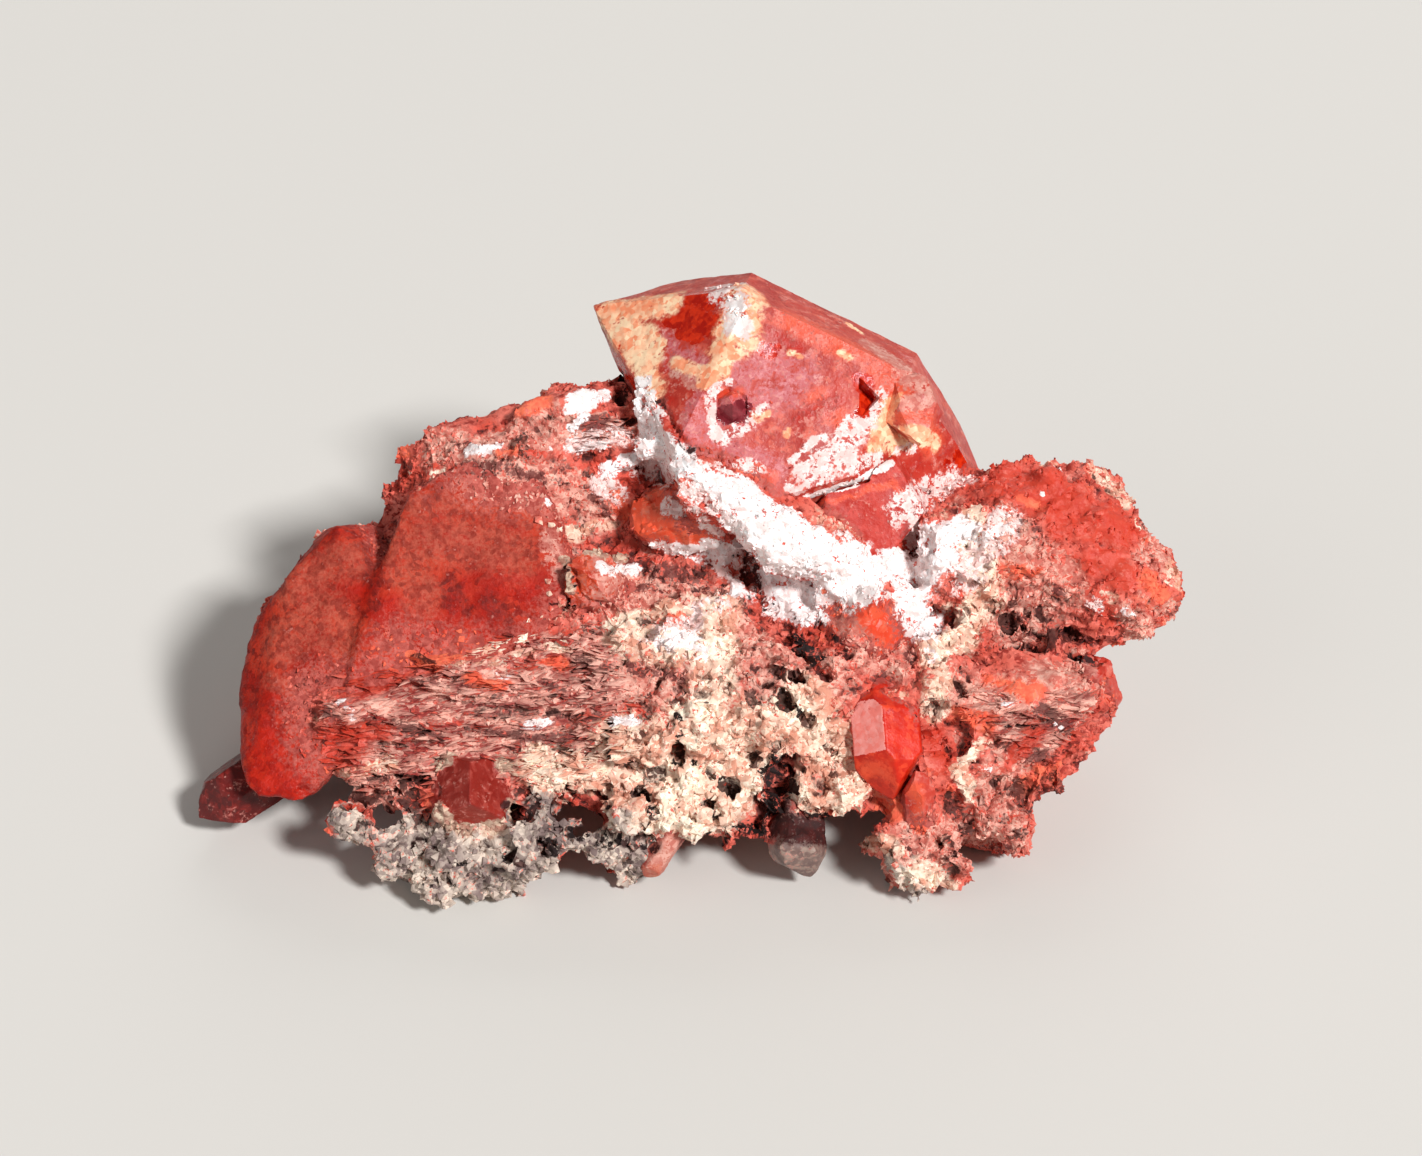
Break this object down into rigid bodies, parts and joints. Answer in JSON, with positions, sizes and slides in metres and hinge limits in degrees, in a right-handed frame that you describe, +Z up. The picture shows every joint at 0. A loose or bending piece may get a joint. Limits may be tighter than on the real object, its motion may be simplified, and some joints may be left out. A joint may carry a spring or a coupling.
{
  "type": "hyacinth quartz on matrix",
  "caption": "Red hyacinth quartz: one large doubly terminated crystal and smaller ones grown in a lump of crusted rock matrix.",
  "frame": {"origin": "on the ground, under the middle of the specimen's bounding box", "axes": "+X to the right along the length, +Y to the back, +Z up; the front with the crystals faces -Y"},
  "size_m": [0.0744, 0.0406, 0.0349],
  "materials": {
    "matrix": "rough red, cream and grey rock with a white crust",
    "large_crystal": "pink-red quartz with flat faces and a cream coat",
    "left_crystal": "smooth waxy red quartz",
    "small_crystals": "glossy, slightly see-through red quartz"
  },
  "bodies": {
    "root": {"matrix": "matrix", "large_crystal": "large_crystal", "lower_crystal": "small_crystals", "left_crystal": "left_crystal", "prism_crystal": "small_crystals", "pyramid_crystal": "small_crystals", "corner_crystal": "small_crystals", "side_crystal": "small_crystals", "ledge_crystal": "small_crystals", "centre_crystal": "small_crystals", "crust_crystal": "small_crystals", "spike_crystal": "small_crystals", "pebble_crystal": "small_crystals", "shard_crystal": "small_crystals"}
  },
  "joints": []
}
